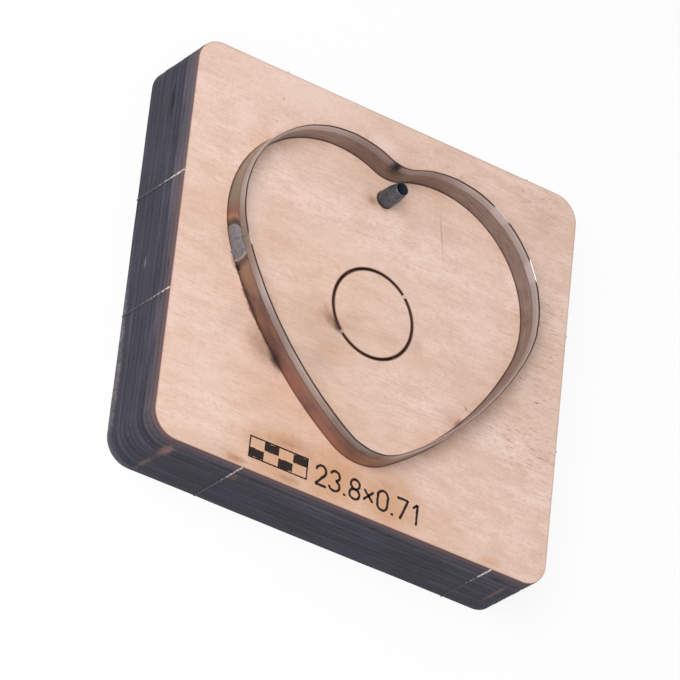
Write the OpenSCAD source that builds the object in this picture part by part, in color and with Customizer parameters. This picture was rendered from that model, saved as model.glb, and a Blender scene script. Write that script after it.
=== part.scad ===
// Steel rule die that cuts a heart with a hanging hole out of leather, felt or card.
// A laser-cut plywood board holds a bent cutting rule and a tube punch of the same height,
// so that both edges cut at once, a few millimetres above the board.
// Origin: middle of the board's underside. +Z points to the cutting edges, +Y to the notch of the heart.

/* [Heart] */
// Width of the cut heart, across its two lobes
heart_w = 75; // [70:0.5:90]
// Height of the cut heart, from its tip to the top of its lobes
heart_h = 70; // [65:0.5:85]
// Radius of each lobe
lobe_r = 24.4; // [22:0.1:27]
// Radius of the rounded notch between the lobes
notch_r = 8.5; // [6:0.1:12]
// Radius of the long, nearly straight sides
side_r = 78; // [65:1:120]
// Radius of the rounded tip
tip_r = 12; // [8:0.5:15]

/* [Board] */
// Thickness of the plywood
board_t = 17.5; // [15:0.1:18.5]
// Wood left between the heart and the edges of the board
margin = 11.5; // [10:0.5:25]
// Radius of the four corners
corner_r = 5.6; // [2:0.1:9]
// Number of plies
plies = 11; // [7:2:15]
// How much deeper the laser burned every second ply at the edges
ply_step = 0.15; // [0.05:0.05:0.4]

/* [Steel rule] */
// Height of the rule, from its foot to its cutting edge
rule_h = 23.8; // [22.5:0.1:30]
// Thickness of the rule
rule_t = 0.71; // [0.5:0.01:1.1]
// Height of the bevels, ground on both sides
bevel_h = 2; // [0.8:0.1:2.8]
// Width of the cutting edge that the bevels leave
edge_t = 0.04; // [0.02:0.01:0.1]
// Gap between the rule and each wall of its slot
slot_fit = 0.04; // [0.02:0.01:0.1]
// Width of the wood bridge left in the slot on each side of the heart
bridge_w = 3; // [2:0.1:6]
// Gap between the rule and a bridge, at its top and both its ends
bridge_fit = 0.3; // [0.1:0.05:0.5]
// Gap where the two ends of the rule meet
joint_gap = 0.12; // [0.05:0.01:0.3]
// Angle from the end of the left lobe back to that joint
joint_turn = 2; // [0:0.5:8]

/* [Weld] */
// Length of the weld across the joint
weld_l = 7.8; // [5:0.1:10]
// How far the weld stays below the bevels
weld_drop = 0.1; // [0.05:0.05:1]
// How far the weld stands out from the rule
weld_t = 0.45; // [0.3:0.05:0.8]
// Thickness of the weld along its upper and lower edges
weld_toe = 0.15; // [0.1:0.05:0.25]
// Height of the shoulders that slope to those edges
weld_slope = 1; // [0.5:0.1:1.5]
// Radius of the weld's corners
weld_r = 1.2; // [0.4:0.1:1.5]

/* [Hole punch] */
// Distance from the notch down to the middle of the punch
punch_drop = 5.3; // [4:0.1:10]
// Diameter of the bore that the slugs leave through
punch_bore = 2.8; // [2:0.1:5]
// Wall of the tube
punch_wall = 0.6; // [0.4:0.05:1]
// Wall left at the cutting edge
punch_edge = 0.1; // [0.05:0.01:0.3]
// Length of the taper below the cutting edge
punch_taper = 3; // [2:0.1:5]
// Gap between the tube and the wall of its hole
punch_fit = 0.05; // [0.02:0.01:0.15]

/* [Ring kerf] */
// Middle diameter of the empty ring kerf inside the heart
ring_d = 20; // [12:0.5:28]
// Width of the ring kerf
ring_w = 0.65; // [0.3:0.05:1]
// How far the ring sits below the middle of the heart
ring_drop = 0.4; // [0:0.1:4]
// Width of the two small bridges that hold the disc
ring_bridge = 0.8; // [0.5:0.1:2]
// Direction of those bridges
ring_turn = 44; // [0:1:90]

/* [Snapped joints] */
// Width of the wood stubs left where the board was snapped out of its sheet
stub_w = 0.3; // [0.2:0.05:1]
// How far the stubs stand out from the edge
stub_out = 0.25; // [0.1:0.05:0.5]
// Stubs on the long edges: distance of the left one from the middle
stub_left = 27.1; // [15:0.1:36]
// Stubs on the long edges: distance of the right one from the middle
stub_right = 35.4; // [15:0.1:36]
// Stubs on the short edges: distance from the middle, both ways
stub_side = 13.8; // [8:0.1:30]

/* [Hidden] */
$fn = 180;

wood = [0.88, 0.78, 0.71];
rule_steel = [0.53, 0.45, 0.41];
punch_steel = [0.31, 0.31, 0.33];
weld_steel = [0.54, 0.52, 0.52];

board_w = heart_w + 2 * margin;
board_d = heart_h + 2 * margin;
ply_t = board_t / plies;
kerf = rule_t + 2 * slot_fit;
// How far a cut runs past the face it opens, and how far it reaches to each side of the rule
over = 1;
reach = 3 * rule_t;
// Each arc runs this far past its ends, so that the rule is one piece
lap = 0.002;

// The heart is a chain of arcs that meet tangentially. These centres and angles are for its right half.
lobe_c = [heart_w / 2 - lobe_r, heart_h / 2 - lobe_r];
tip_c = [0, tip_r - heart_h / 2];
notch_c = [0, lobe_c.y + sqrt(pow(lobe_r + notch_r, 2) - pow(lobe_c.x, 2))];
side_c = crossing(lobe_c, side_r - lobe_r, tip_c, side_r - tip_r);
notch_a = direction(notch_c, lobe_c);
lobe_a = direction(side_c, lobe_c);
tip_a = direction(side_c, tip_c);

// Each arc: centre, radius, first angle, angle swept
notch_arc = [notch_c, notch_r, -180 - notch_a, 2 * notch_a + 180];
lobe_arc = [lobe_c, lobe_r, lobe_a, notch_a + 180 - lobe_a];
side_arc = [side_c, side_r, tip_a, lobe_a - tip_a];
tip_arc = [tip_c, tip_r, -180 - tip_a, 2 * tip_a + 180];

bridge_a = (lobe_a + tip_a) / 2;
joint_a = lobe_a + joint_turn;

// The weld follows the lobe and fills the height between the board and the bevels
weld_h = rule_h - bevel_h - weld_drop - board_t;
weld_a = degrees(weld_l, lobe_r);

punch_d = punch_bore + 2 * punch_wall;
punch_y = notch_c.y - notch_r - punch_drop;

function degrees(length, r) = length / r * 180 / PI;

function direction(from, to) = atan2(to.y - from.y, to.x - from.x);

// Crossing of two circles that lies to the left
function crossing(c1, r1, c2, r2) =
    let (d = norm(c2 - c1), u = (c2 - c1) / d, a = (d * d + r1 * r1 - r2 * r2) / (2 * d))
    c1 + a * u + sqrt(r1 * r1 - a * a) * [u.y, -u.x];

// Sweeps a section along an arc. In the section, x points away from the arc's centre and y up.
module sweep(arc) {
    turn = degrees(lap, arc[1]);
    translate(arc[0])
        rotate(arc[2] - turn)
            rotate_extrude(angle = arc[3] + 2 * turn)
                translate([arc[1], 0])
                    children();
}

// Sweeps a symmetrical section along the whole heart
module along_heart() {
    sweep(notch_arc) children();
    sweep(tip_arc) children();
    for (side = [0, 1])
        mirror([side, 0, 0]) {
            sweep(lobe_arc) children();
            sweep(side_arc) children();
        }
}

// Blocks across the rule's line, where the bridges are
module bridges(width, height) {
    for (side = [0, 1])
        mirror([side, 0, 0])
            translate(side_c)
                rotate(bridge_a)
                    translate([side_r - reach, -width / 2, -over])
                        cube([2 * reach, width, height + over]);
}

// Places something at the joint of the rule, with x pointing out of the heart
module at_joint() {
    mirror([1, 0, 0])
        translate(lobe_c)
            rotate(joint_a)
                translate([lobe_r, 0, 0])
                    children();
}

module rounded(w, d, r) {
    square([w - 2 * r, d], center = true);
    square([w, d - 2 * r], center = true);
    for (x = [-1, 1], y = [-1, 1])
        translate([x * (w / 2 - r), y * (d / 2 - r)])
            circle(r);
}

// The board's body, with every second ply burned back a little
module plywood() {
    difference() {
        linear_extrude(board_t)
            rounded(board_w, board_d, corner_r);
        for (i = [1 : 2 : plies - 2])
            translate([0, 0, i * ply_t])
                linear_extrude(ply_t)
                    difference() {
                        square([board_w + over, board_d + over], center = true);
                        rounded(board_w - 2 * ply_step, board_d - 2 * ply_step, corner_r - ply_step);
                    }
    }
}

// A stub on an edge that runs along x, pointing to +y, rooted behind the deepest ply
module stub() {
    translate([-stub_w / 2, -2 * ply_step, 0])
        cube([stub_w, 2 * ply_step + stub_out, board_t]);
}

module stubs() {
    for (side = [0, 1]) {
        mirror([0, side, 0])
            for (x = [-stub_left, stub_right])
                translate([x, board_d / 2, 0])
                    stub();
        mirror([side, 0, 0])
            for (y = [-stub_side, stub_side])
                translate([board_w / 2, y, 0])
                    rotate(-90)
                        stub();
    }
}

// The slot of the rule, interrupted by its two bridges
module rule_slot() {
    difference() {
        along_heart()
            translate([-kerf / 2, -over])
                square([kerf, board_t + 2 * over]);
        bridges(bridge_w, board_t + 2 * over);
    }
}

// The ring kerf, interrupted by its two bridges
module ring_kerf() {
    translate([0, -ring_drop, -over])
        difference() {
            cylinder(d = ring_d + ring_w, h = board_t + 2 * over);
            translate([0, 0, -over])
                cylinder(d = ring_d - ring_w, h = board_t + 4 * over);
            rotate(ring_turn)
                translate([-ring_d, -ring_bridge / 2, -over])
                    cube([2 * ring_d, ring_bridge, board_t + 4 * over]);
        }
}

module die_board() {
    color(wood)
        difference() {
            union() {
                plywood();
                stubs();
            }
            rule_slot();
            ring_kerf();
            translate([0, punch_y, -over])
                cylinder(d = punch_d + 2 * punch_fit, h = board_t + 2 * over);
        }
}

module steel_rule() {
    color(rule_steel)
        difference() {
            along_heart()
                polygon([
                    [-rule_t / 2, 0],
                    [rule_t / 2, 0],
                    [rule_t / 2, rule_h - bevel_h],
                    [edge_t / 2, rule_h],
                    [-edge_t / 2, rule_h],
                    [-rule_t / 2, rule_h - bevel_h]
                ]);
            bridges(bridge_w + 2 * bridge_fit, board_t + bridge_fit);
            at_joint()
                translate([-reach, -joint_gap / 2, -over])
                    cube([2 * reach, joint_gap, rule_h + 2 * over]);
        }
}

module hole_punch() {
    color(punch_steel)
        translate([0, punch_y, 0])
            difference() {
                union() {
                    cylinder(d = punch_d, h = rule_h - punch_taper);
                    translate([0, 0, rule_h - punch_taper])
                        cylinder(d1 = punch_d, d2 = punch_bore + 2 * punch_edge, h = punch_taper);
                }
                translate([0, 0, -over])
                    cylinder(d = punch_bore, h = rule_h + 2 * over);
            }
}

// Section of the weld: dressed flat outside, with shoulders that slope past its upper and lower edges
module weld_section() {
    face = rule_t / 2;
    top = board_t + weld_h;
    past = weld_toe - over * (weld_t - weld_toe) / weld_slope;
    polygon([
        [-rule_t, board_t - over],
        [face + past, board_t - over],
        [face + weld_t, board_t + weld_slope],
        [face + weld_t, top - weld_slope],
        [face + past, top + over],
        [-rule_t, top + over]
    ]);
}

// Everything behind the rule's outer face
module rule_back() {
    translate([rule_t / 2 - reach, 0])
        square([reach, rule_h]);
}

// Weld metal on the outside of the rule, across its joint and seated on the board
module joint_weld() {
    color(weld_steel)
        difference() {
            intersection() {
                mirror([1, 0, 0])
                    sweep([lobe_c, lobe_r, joint_a - weld_a, 2 * weld_a])
                        weld_section();
                at_joint()
                    translate([-reach / 2, 0, board_t + weld_h / 2])
                        rotate([90, 0, 90])
                            linear_extrude(reach + weld_t)
                                rounded(weld_l, weld_h, min(weld_r, 0.45 * weld_h));
            }
            mirror([1, 0, 0]) {
                sweep(lobe_arc) rule_back();
                sweep(side_arc) rule_back();
            }
        }
}

die_board();
steel_rule();
hole_punch();
joint_weld();
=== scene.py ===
# %% [markdown]
# # A steel rule die in Blender
# A steel rule die is a cookie cutter for leather, felt and card. A laser cuts a thin slot into a
# plywood board, a strip of sharpened steel is bent to the outline and tapped into the slot, and a press
# pushes the die through the sheet. This one cuts a heart, and a small tube punch beside the notch cuts
# its hanging hole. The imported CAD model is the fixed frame. The board stays as it is and gets a finish,
# while the thin steel pieces are worked out again with numpy, because their bends, bevels and heat
# colours need finer surfaces.

# %% The fixed frame
from functools import partialmethod

import bpy
import numpy as np
from mathutils import Matrix, Vector


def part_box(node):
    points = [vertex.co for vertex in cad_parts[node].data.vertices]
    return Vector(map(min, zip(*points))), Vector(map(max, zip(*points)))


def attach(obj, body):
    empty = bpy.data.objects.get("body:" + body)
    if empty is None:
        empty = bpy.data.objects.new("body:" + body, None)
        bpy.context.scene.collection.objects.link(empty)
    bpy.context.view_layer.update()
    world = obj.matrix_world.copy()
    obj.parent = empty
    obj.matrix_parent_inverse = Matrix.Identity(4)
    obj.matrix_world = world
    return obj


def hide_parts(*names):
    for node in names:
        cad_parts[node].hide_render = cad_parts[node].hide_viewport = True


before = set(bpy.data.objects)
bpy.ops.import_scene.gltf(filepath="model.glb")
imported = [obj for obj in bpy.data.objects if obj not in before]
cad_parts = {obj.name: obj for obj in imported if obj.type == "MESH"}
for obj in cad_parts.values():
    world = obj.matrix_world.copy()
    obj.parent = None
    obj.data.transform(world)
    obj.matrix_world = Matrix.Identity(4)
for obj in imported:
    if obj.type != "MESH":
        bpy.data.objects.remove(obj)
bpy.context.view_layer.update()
MM = 0.001


def add_object(name, data):
    """A new object at the origin, linked to the scene."""
    made = bpy.data.objects.new(name, data)
    bpy.context.scene.collection.objects.link(made)
    return made


# %% [markdown]
# ## Sizes
# Everything below is written in millimetres and turned into metres once, when a mesh is made. What the
# frame can tell is measured from it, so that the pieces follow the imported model: the board's thickness,
# the rule's height, the tube's radius. The heart's arcs can't be read back from triangles, so their
# radii are repeated.

# %% Sizes in millimetres
rng = np.random.default_rng(23)
board_hi = np.array(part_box("die_board")[1]) / MM
rule_lo, rule_hi = (np.array(c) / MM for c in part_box("steel_rule"))
punch_lo, punch_hi = (np.array(c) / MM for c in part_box("hole_punch"))
weld_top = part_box("joint_weld")[1][2] / MM
BOARD_T = board_hi[2]
RULE_H = rule_hi[2]
RULE_T = 0.71
BEVEL_H = 2.0
STUB_OUT = 0.25
CORNER_R = 5.6
HALF_W = board_hi[0] - STUB_OUT
HALF_D = board_hi[1] - STUB_OUT
HEART_W = rule_hi[0] - rule_lo[0] - RULE_T
HEART_H = rule_hi[1] - rule_lo[1] - RULE_T
LOBE_R, NOTCH_R, SIDE_R, TIP_R = 24.4, 8.5, 78.0, 12.0
KERF = RULE_T + 0.08
RING_R, RING_Y, RING_W = 10.0, -0.4, 0.65
PUNCH_R = (punch_hi[0] - punch_lo[0]) / 2
PUNCH_Y = (punch_hi[1] + punch_lo[1]) / 2
print("board", HALF_W * 2, HALF_D * 2, BOARD_T, "heart", round(HEART_W, 2), round(HEART_H, 2))

# %% [markdown]
# ## The camera
# The photograph was taken from far away with a long lens, so parallel edges stay nearly parallel. The
# camera's place and turn were solved from the board's corners; here they are simply written down. A
# camera looks along its own -Z with +Y up, so its matrix has the picture's right, its up and the
# reverse of the viewing direction as columns.

# %% Camera
view_right = Vector((0.81062, 0.09509, 0.57782))
view_up = Vector((-0.34700, 0.87281, 0.34318))
view_back = view_right.cross(view_up)
turn = Matrix((view_right, view_up, view_back)).transposed().to_4x4()
lens = bpy.data.cameras.new("camera")
lens.sensor_width = 36.0
lens.lens = 313.765
lens.clip_start, lens.clip_end = 0.01, 50.0
camera = add_object("camera", lens)
camera.matrix_world = Matrix.Translation((-0.58148, -0.59215, 0.91889)) @ turn
bpy.context.scene.camera = camera
print("camera is", round(camera.location.length, 3), "m from the origin")

# %% [markdown]
# ## Small tools for meshes
# A shape here is a grid of points: rows along one parameter, columns along another. Neighbouring points
# make four-sided faces. The columns always close to a tube. The rows can close as well, or the open
# ends get caps.

# %% Grid to mesh
def grid_faces(rows, cols, close_rows):
    """Corner indices of all quads of a grid, and the same without wrap-around, for the UV map."""
    i, j = np.meshgrid(np.arange(rows - (not close_rows)), np.arange(cols), indexing="ij")
    square = ((0, 0), (1, 0), (1, 1), (0, 1))
    corners = np.stack([np.stack([i.ravel() + down, j.ravel() + right], 1) for down, right in square], 1)
    wrapped = (corners[..., 0] % rows) * cols + corners[..., 1] % cols
    return wrapped, corners


def grid_piece(name, points, close_rows=False, caps=False, uv=None, fields=None):
    """One object from a grid of points in mm. uv gives two coordinates for each grid corner, with one row
    or column more where the grid is closed. fields are named numbers for each point."""
    rows, cols, _ = points.shape
    quads, corners = grid_faces(rows, cols, close_rows)
    polygons = quads.tolist()
    if caps:
        polygons += [list(range(cols))[::-1], list(range((rows - 1) * cols, rows * cols))]
    mesh = bpy.data.meshes.new(name)
    mesh.from_pydata((points.reshape(-1, 3) * MM).tolist(), [], polygons)
    mesh.polygons.foreach_set("use_smooth", np.full(len(polygons), True))
    for field, values in (fields or {}).items():
        layer = mesh.attributes.new(field, "FLOAT", "POINT")
        layer.data.foreach_set("value", np.asarray(values, dtype=np.float32).ravel())
    if uv is not None:
        layer = mesh.uv_layers.new(name="along_across")
        corner_uv = uv[corners[..., 0], corners[..., 1]].reshape(-1, 2)
        flat = np.zeros((len(mesh.loops), 2))
        flat[:len(corner_uv)] = corner_uv
        layer.data.foreach_set("uv", flat.ravel())
    mesh.update()
    print(name, len(mesh.vertices), "points,", len(mesh.polygons), "faces")
    return add_object(name, mesh)


def smooth_noise(count, knots, wrap=False):
    """Random values at a few knots, joined by cosine steps to a soft line of count samples."""
    values = rng.standard_normal(knots + 1)
    values[-1] = values[0] if wrap else values[-1]
    x = np.linspace(0, knots, count, endpoint=not wrap)
    k = np.minimum(x.astype(int), knots - 1)
    f = (1 - np.cos(np.pi * (x - k))) / 2
    return values[k] * (1 - f) + values[k + 1] * f


def step(value, low, high):
    """Soft step from 0 at low to 1 at high."""
    t = np.clip((value - low) / (high - low), 0, 1)
    return t * t * (3 - 2 * t)


# %% [markdown]
# ## Small tools for shaders
# A shader tree is a set of nodes and links. Two helpers keep that short: Wires adds a node to a tree,
# and a Value is the output of a node. Values can be added, multiplied and compared like numbers, and
# each such step adds a node, so that a finish reads like a list of sums.

# %% Node helper
class Wires:
    """Adds nodes to one tree. An input is linked if it gets a Value, and set if it gets plain numbers."""

    def __init__(self, tree):
        self.tree = tree

    def node(self, kind, inputs=None, **settings):
        made = self.tree.nodes.new("ShaderNode" + kind)
        for key, value in settings.items():
            setattr(made, key, value)
        for key, value in (inputs or {}).items():
            if isinstance(value, Value):
                value.into(made, key)
            else:
                made.inputs[key].default_value = value
        return made

    def value(self, kind, inputs=None, output=0, **settings):
        return Value(self.node(kind, inputs, **settings).outputs[output])

    def group(self, group, **inputs):
        return named(self.node("Group", inputs, node_tree=group))

    def field(self, name):
        """A field of numbers that the mesh carries."""
        return self.value("Attribute", output="Fac", attribute_name=name)

    def millimetres(self):
        """Object coordinates, in mm."""
        place = self.value("TexCoord", output="Object")
        return self.value("VectorMath", {0: place, "Scale": 1 / MM}, operation="SCALE")


class Value:
    """An output socket. A sum with it adds a Math node, or a VectorMath node if it is a vector."""

    def __init__(self, socket):
        self.socket = socket
        self.wires = Wires(socket.id_data)

    def math(self, operation, *others):
        kind = "VectorMath" if self.socket.type == "VECTOR" else "Math"
        output = 1 if operation in ("LENGTH", "DISTANCE", "DOT_PRODUCT") else 0
        return self.wires.value(kind, dict(enumerate((self, *others))), output, operation=operation)

    __add__ = partialmethod(math, "ADD")
    __sub__ = partialmethod(math, "SUBTRACT")
    __mul__ = partialmethod(math, "MULTIPLY")
    __truediv__ = partialmethod(math, "DIVIDE")
    __pow__ = partialmethod(math, "POWER")
    __lt__ = partialmethod(math, "LESS_THAN")
    __abs__ = partialmethod(math, "ABSOLUTE")
    most = partialmethod(math, "MAXIMUM")
    least = partialmethod(math, "MINIMUM")

    def __rsub__(self, other):
        return self.wires.value("Math", {0: other, 1: self}, operation="SUBTRACT")

    def spread(self, low, high, *ends, kind="SMOOTHSTEP"):
        """The range from low to high stretched to 0 to 1, to 0 and a given end, or to two given ends."""
        to_low, to_high = (0.0, *(ends or (1.0,)))[-2:]
        keys = {"Value": self, "From Min": low, "From Max": high, "To Min": to_low, "To Max": to_high}
        return self.wires.value("MapRange", keys, interpolation_type=kind)

    def noise(self, scale, detail, rough):
        """Noise at this place. Three scales stretch it along the axes."""
        if isinstance(scale, tuple):
            return (self * scale).noise(1.0, detail, rough)
        keys = {"Vector": self, "Scale": scale, "Detail": detail, "Roughness": rough}
        return self.wires.value("TexNoise", keys, "Fac")

    def blend(self, first, second):
        """Two colours mixed with this value as the factor."""
        return self.wires.value("Mix", {0: self, 6: first, 7: second}, 2, data_type="RGBA")

    def choose(self, first, second):
        """Two numbers mixed with this value as the factor."""
        return self.wires.value("Mix", {0: self, 2: first, 3: second}, data_type="FLOAT")

    def tint(self, mask, *colour):
        """Lays another colour over this one where the mask is 1."""
        self.socket = mask.blend(self, rgb(*colour)).socket

    def ramp(self, *stops):
        """A row of colours; each stop is a place from 0 to 1 and a colour."""
        made = self.wires.node("ValToRGB", {"Fac": self})
        elements = made.color_ramp.elements
        while len(elements) < len(stops):
            elements.new(0.5)
        for element, (place, *colour) in zip(elements, stops):
            element.position, element.color = place, rgb(*colour)
        return Value(made.outputs["Color"])

    def apart(self):
        return [Value(socket) for socket in self.wires.node("SeparateXYZ", {0: self}).outputs]

    def into(self, node, socket):
        self.wires.tree.links.new(self.socket, node.inputs[socket])


def named(node):
    return {socket.name: Value(socket) for socket in node.outputs}


def new_group(name, inputs, outputs):
    """An empty shader group with named sockets. Returns it, its inputs and its output node."""
    tree = bpy.data.node_groups.new(name, "ShaderNodeTree")
    for side, sockets in (("INPUT", inputs), ("OUTPUT", outputs)):
        for label, kind in sockets.items():
            tree.interface.new_socket(label, in_out=side, socket_type="NodeSocket" + kind)
    return tree, named(tree.nodes.new("NodeGroupInput")), tree.nodes.new("NodeGroupOutput")


def new_finish(name, **constants):
    """A material with one Principled shader. constants set sockets that are the same all over."""
    material = bpy.data.materials.new(name)
    material.use_nodes = True
    shader = material.node_tree.nodes["Principled BSDF"]
    for socket, value in constants.items():
        shader.inputs[socket.replace("_", " ")].default_value = value
    return material, Wires(material.node_tree)


def rgb(red, green, blue):
    """A colour as a screen shows it, 0 to 255, turned into the linear values that shaders use."""
    c = np.array([red, green, blue]) / 255
    return (*np.where(c <= 0.04045, c / 12.92, ((c + 0.055) / 1.055) ** 2.4), 1.0)


def cover(piece, finish, colour, rough, height=None, strength=0.0, depth=0.0):
    """Ends a finish and puts it on a piece. Its bump has a height field, a strength and a depth in mm."""
    shader = finish.node_tree.nodes["Principled BSDF"]
    colour.into(shader, "Base Color")
    rough.into(shader, "Roughness")
    if height is not None:
        keys = {"Strength": strength, "Distance": depth * MM, "Height": height}
        height.wires.value("Bump", keys).into(shader, "Normal")
    piece.data.materials.clear()
    piece.data.materials.append(finish)
    print("finish", finish.name, "has", len(finish.node_tree.nodes), "nodes")


# %% [markdown]
# ## Floor and light
# The photograph has a white ground and soft light that comes from above and a little from the left. A
# large area lamp and an even white sky do that. The floor looks white because of its own colour: camera
# rays see most of it as plain white, and the rest still darkens where the die keeps light away.

# %% Floor, sky and lamp
FLOOR_REACH, FLOOR_Z = 6.0, -5e-5
square = ((-1, -1), (1, -1), (1, 1), (-1, 1))
floor_mesh = bpy.data.meshes.new("floor")
floor_points = [(FLOOR_REACH * x, FLOOR_REACH * y, FLOOR_Z) for x, y in square]
floor_mesh.from_pydata(floor_points, [], [(0, 1, 2, 3)])
floor = add_object("floor", floor_mesh)


def seen_rays(wires):
    """1 for rays that show the background: from the camera, off metal and through glass."""
    path = named(wires.node("LightPath"))
    return path["Is Camera Ray"].most(path["Is Glossy Ray"]).most(path["Is Transmission Ray"])


paper, wires = new_finish("white_floor", Base_Color=(0.97, 0.97, 0.97, 1), Roughness=0.9)
lit = Value(paper.node_tree.nodes["Principled BSDF"].outputs[0])
glow = wires.value("Emission", {"Strength": 1.0})
mixed = wires.value("MixShader", {0: seen_rays(wires) * 0.88, 1: lit, 2: glow})
mixed.into(paper.node_tree.nodes["Material Output"], 0)
floor_mesh.materials.append(paper)

sky = bpy.data.worlds.new("sky")
sky.use_nodes = True
background = sky.node_tree.nodes["Background"]
background.inputs["Color"].default_value = (1, 1, 1, 1)
seen_rays(Wires(sky.node_tree)).spread(0.0, 1.0, 0.42, 1.0, kind="LINEAR").into(background, "Strength")
bpy.context.scene.world = sky

lamp = bpy.data.lights.new("soft_box", "AREA")
lamp.shape, lamp.size, lamp.size_y, lamp.energy = "RECTANGLE", 0.55, 0.4, 4.25
lamp_place = Vector((-0.40, -0.15, 0.58))
soft_box = add_object("soft_box", lamp)
aim = lamp_place.to_track_quat("Z", "Y").to_matrix().to_4x4()
soft_box.matrix_world = Matrix.Translation(lamp_place) @ aim
bpy.context.scene.view_settings.view_transform = "Standard"
print("floor, sky and one soft box")

# %% [markdown]
# ## The heart as arcs
# A bender shapes the rule in arcs that run into each other without a corner. Half of the heart is four
# of them: the notch, a lobe, a long side and the tip. Each arc has a centre, a radius, a first angle
# and a turning direction, so any distance along the outline gives a point and the direction that points
# out of the heart.

# %% Points along the heart
lobe_c = np.array([HEART_W / 2 - LOBE_R, HEART_H / 2 - LOBE_R])
tip_c = np.array([0.0, TIP_R - HEART_H / 2])
notch_c = np.array([0.0, lobe_c[1] + np.sqrt((LOBE_R + NOTCH_R) ** 2 - lobe_c[0] ** 2)])
gap = np.linalg.norm(tip_c - lobe_c)
toward = (tip_c - lobe_c) / gap
near = (gap ** 2 + (SIDE_R - LOBE_R) ** 2 - (SIDE_R - TIP_R) ** 2) / (2 * gap)
away = np.sqrt((SIDE_R - LOBE_R) ** 2 - near ** 2)
side_c = lobe_c + near * toward + away * np.array([toward[1], -toward[0]])


def heading(start, end):
    return np.arctan2(end[1] - start[1], end[0] - start[0])


notch_a, lobe_a, tip_a = heading(notch_c, lobe_c), heading(side_c, lobe_c), heading(side_c, tip_c)
arc_centre = np.stack([notch_c, lobe_c, side_c, tip_c])
arc_radius = np.array([NOTCH_R, LOBE_R, SIDE_R, TIP_R])
arc_first = np.array([-np.pi / 2, notch_a + np.pi, lobe_a, tip_a])
arc_turn = np.array([1.0, -1.0, -1.0, -1.0])
arc_angle = np.array([notch_a + np.pi / 2, notch_a + np.pi - lobe_a, lobe_a - tip_a, tip_a + np.pi / 2])
arc_start = np.concatenate([[0], np.cumsum(arc_radius * arc_angle)])
HALF_LENGTH = arc_start[-1]
LENGTH = 2 * HALF_LENGTH


def heart(s):
    """Points and outward normals at distances s along the heart, clockwise from the middle of the notch.
    In each arc the angle grows by distance over radius; the left half is the right half mirrored."""
    s = np.mod(s, LENGTH)
    left = s > HALF_LENGTH
    half = np.where(left, LENGTH - s, s)
    k = np.clip(np.searchsorted(arc_start, half, side="right") - 1, 0, 3)
    angle = arc_first[k] + arc_turn[k] * (half - arc_start[k]) / arc_radius[k]
    ray = np.stack([np.cos(angle), np.sin(angle)], -1)
    point = arc_centre[k] + arc_radius[k][:, None] * ray
    normal = -arc_turn[k][:, None] * ray
    mirror = np.stack([np.where(left, -1.0, 1.0), np.ones_like(s)], -1)
    return point * mirror, normal * mirror


JOINT_S = LENGTH - (arc_start[2] - LOBE_R * np.radians(2.0))
BRIDGE_S = np.array([0.5, -0.5]) * (arc_start[2] + arc_start[3]) % LENGTH
joint_point = heart(np.array([JOINT_S]))[0][0]
print("outline", round(LENGTH, 1), "mm, joint at", joint_point.round(1))
print("bridges at", heart(BRIDGE_S)[0].round(1).tolist())

# %% [markdown]
# ## The cutting rule
# The real rule is a strip of hardened steel, 0.71 mm thick, with a bevel ground on both sides.
# Extruding a curve would do, but a profile carried along the path gives control over every row: the
# foot steps up over the two wood bridges, the bevel starts with a small round, and above the board the
# strip shows the short flats that a bender leaves between its strokes. The two ends stay open at the
# butt joint.

# %% The rule's surface
JOINT_GAP = 0.12
BRIDGE_GAP, BRIDGE_TOP = 3.6, BOARD_T + 0.3
bevel_z = RULE_H - BEVEL_H
STATIONS = 900
steps = np.linspace(JOINT_GAP / 2, LENGTH - JOINT_GAP / 2, STATIONS)
bridge_from_joint = np.mod(BRIDGE_S - JOINT_S, LENGTH)
HAIR = 0.002
notch_ends = bridge_from_joint[:, None] + np.array([-1, 1]) * BRIDGE_GAP / 2
edges = notch_ends[..., None] + np.array([-HAIR, HAIR])
near_joint = np.array([0.12, 0.2, 0.3, 0.45, 0.6, 0.8])
steps = np.sort(np.concatenate([steps, edges.ravel(), near_joint, LENGTH - near_joint]))
from_joint = np.where(steps > LENGTH / 2, LENGTH - steps, -steps)
over_bridge = (np.abs(steps[:, None] - bridge_from_joint) < BRIDGE_GAP / 2).any(1)
foot_z = np.where(over_bridge, BRIDGE_TOP, 0.0)

# Profile rows from the outer foot over the cutting edge to the inner foot: offset from the middle, height
half_t = RULE_T / 2
EDGE_Z = RULE_H - 0.003
rise = np.array([
    [half_t, 0.0], [half_t, BOARD_T - 0.2], [half_t, BOARD_T + 0.35], [half_t, BOARD_T + 1.6],
    [half_t, BOARD_T + 3.0], [half_t, bevel_z - 0.12], [half_t - 0.012, bevel_z + 0.12],
    [half_t * 0.55, RULE_H - BEVEL_H * 0.52], [0.085, RULE_H - 0.42], [0.05, RULE_H - 0.2],
    [0.02, EDGE_Z]])
profile = np.concatenate([rise, rise[::-1] * np.array([-1, 1])])
outside = np.concatenate([np.ones(len(rise)), np.zeros(len(rise))])
where = np.mod(JOINT_S + steps, LENGTH)
EAST = arc_start[1] + LOBE_R * (notch_a + np.pi)

# Places along the outline where the bender pressed the strip flat: middle and half length
FLATS = np.array([
    [EAST - 11.3, 2.3], [EAST - 25.2, 2.3], [LENGTH - EAST + 20, 2.2], [HALF_LENGTH + 3, 2.0]])
# Waves that run all round: height, length, phase
WAVES = [(0.018, 6.1, 0.0), (0.012, 3.7, 1.3)]
NICK_DEPTH, NICK_REACH = 0.35, 0.4


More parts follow.
